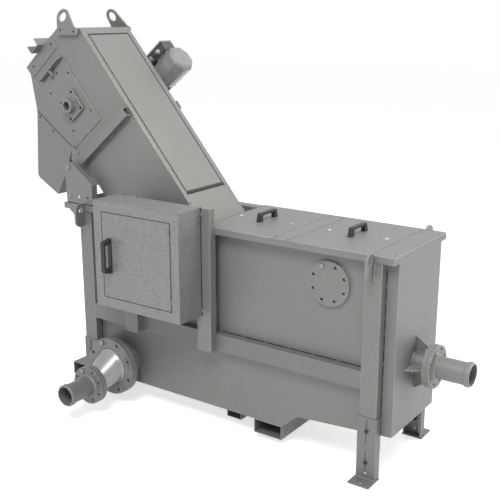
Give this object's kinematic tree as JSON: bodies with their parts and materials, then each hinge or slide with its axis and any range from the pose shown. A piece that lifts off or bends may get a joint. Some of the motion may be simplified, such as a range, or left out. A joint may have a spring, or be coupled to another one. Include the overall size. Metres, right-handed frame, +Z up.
{
  "type": "bar screen",
  "caption": "Inclined mechanical bar screen on a rectangular tank with flanged inlet and outlet, chain-driven rakes, discharge chute, gear motor and control cabinet.",
  "frame": {"origin": "on the floor, in the middle of the four anchor holes", "axes": "+X along the tank towards the inlet, +Y towards the motor side, +Z up"},
  "size_m": [2.7929, 1.1385, 2.257],
  "materials": {
    "sheet_steel": "bead-blasted stainless sheet",
    "turned_steel": "machined or polished stainless",
    "zinc_fasteners": "bright zinc",
    "cast_bearing": "grey cast iron",
    "chain_steel": "oiled chain steel",
    "motor_paint": "dark grey satin enamel",
    "cabinet_sheet": "galvanised sheet",
    "black_plastic": "moulded black plastic",
    "guide_plastic": "wear-resistant plastic rail",
    "black_rubber": "black rubber"
  },
  "bodies": {
    "root": {"bar_rack": "turned_steel", "bearing_bolts": "zinc_fasteners", "bearing_plates": "sheet_steel", "blank_flange": "sheet_steel", "cabinet_body": "cabinet_sheet", "cabinet_posts": "sheet_steel", "chain_guides": "guide_plastic", "chains": "chain_steel", "chute": "sheet_steel", "control_modules": "black_plastic", "cover_strips": "sheet_steel", "cross_channel": "sheet_steel", "dead_plate": "sheet_steel", "door_hinges": "zinc_fasteners", "end_channel": "sheet_steel", "fan_cover": "motor_paint", "feet": "sheet_steel", "flange_bolts": "zinc_fasteners", "flange_gaskets": "black_rubber", "fork_pockets": "sheet_steel", "gearbox": "cast_bearing", "housing_lugs": "sheet_steel", "inlet_stub": "sheet_steel", "inlet_tail": "turned_steel", "leg_back_left": "sheet_steel", "leg_back_right": "sheet_steel", "leg_bolts": "zinc_fasteners", "leg_front_left": "sheet_steel", "leg_front_right": "sheet_steel", "motor": "motor_paint", "mounting_plate": "cabinet_sheet", "outlet_reducer": "turned_steel", "outlet_stub": "sheet_steel", "outlet_tail": "turned_steel", "pivot_bolts": "zinc_fasteners", "pivot_brackets": "sheet_steel", "rakes": "chain_steel", "screen_housing": "sheet_steel", "shaft_bearings": "cast_bearing", "side_rails": "sheet_steel", "sprockets": "cast_bearing", "struts": "sheet_steel", "take_up_screws": "turned_steel", "tank_lugs": "sheet_steel", "tank_rim": "sheet_steel", "tank_shell": "sheet_steel", "terminal_box": "motor_paint"},
    "head_shaft": {"head_shaft": "turned_steel"},
    "cabinet_door": {"cabinet_door": "cabinet_sheet", "door_handle": "black_plastic"},
    "lid_left": {"lid_left": "sheet_steel", "lid_handle_left": "black_plastic", "lid_screws_left": "zinc_fasteners"},
    "lid_right": {"lid_right": "sheet_steel", "lid_handle_right": "black_plastic", "lid_screws_right": "zinc_fasteners"},
    "housing_cover": {"housing_cover": "sheet_steel"},
    "wiper": {"wiper": "turned_steel", "wiper_blade": "black_rubber"}
  },
  "joints": [
    {"name": "head_shaft_spin", "type": "hinge", "parent": "root", "child": "head_shaft", "pos_m": [-1.07987, 0, 1.71656], "axis": [0, 1, 0], "continuous": true},
    {"name": "cabinet_door_swing", "type": "hinge", "parent": "root", "child": "cabinet_door", "pos_m": [-0.1015, -0.5295, 0.974], "axis": [0, 0, 1], "range_deg": [0, 110]},
    {"name": "lid_left_lift", "type": "slide", "parent": "root", "child": "lid_left", "axis": [0, 0, 1], "range_m": [0, 0.3]},
    {"name": "lid_right_lift", "type": "slide", "parent": "root", "child": "lid_right", "axis": [0, 0, 1], "range_m": [0, 0.3]},
    {"name": "housing_cover_lift", "type": "slide", "parent": "root", "child": "housing_cover", "axis": [0.766, 0, 0.6428], "range_m": [0, 0.25]},
    {"name": "wiper_swing", "type": "hinge", "parent": "root", "child": "wiper", "pos_m": [-1.372, 0, 1.792], "axis": [0, -1, 0], "range_deg": [0, 35]}
  ]
}
